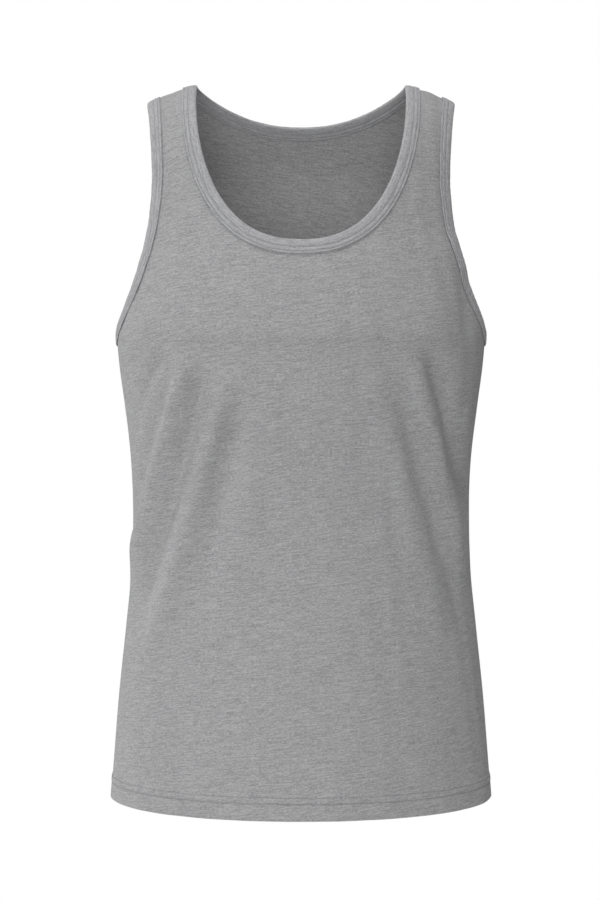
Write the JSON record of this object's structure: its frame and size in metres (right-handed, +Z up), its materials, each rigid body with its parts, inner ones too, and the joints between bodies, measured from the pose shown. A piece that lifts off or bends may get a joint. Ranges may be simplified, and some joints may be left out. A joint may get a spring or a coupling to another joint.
{
  "type": "tank top",
  "caption": "Sleeveless scoop-neck tank top in grey heather jersey, filled out as worn, with bound neck and armholes and a stitched hem.",
  "frame": {"origin": "midway between the two shoulder straps, at the height of the straps' undersides on the crest of the shoulders, where the wearer's shoulders hold the garment", "axes": "+Z up, -Y toward the front of the garment, +X toward the wearer's left side, which is on the right when the front is looked at"},
  "size_m": [0.3792, 0.2244, 0.7147],
  "materials": {
    "jersey": "grey heather cotton single jersey, soft and matte, with short darker and lighter streaks along the courses",
    "binding": "the same grey heather jersey, folded over the edge as a narrow band and sewn with two rows of grey thread"
  },
  "bodies": {
    "root": {"front_panel": "jersey", "back_panel": "jersey", "neck_binding": "binding", "armhole_binding_left": "binding", "armhole_binding_right": "binding"}
  },
  "joints": []
}
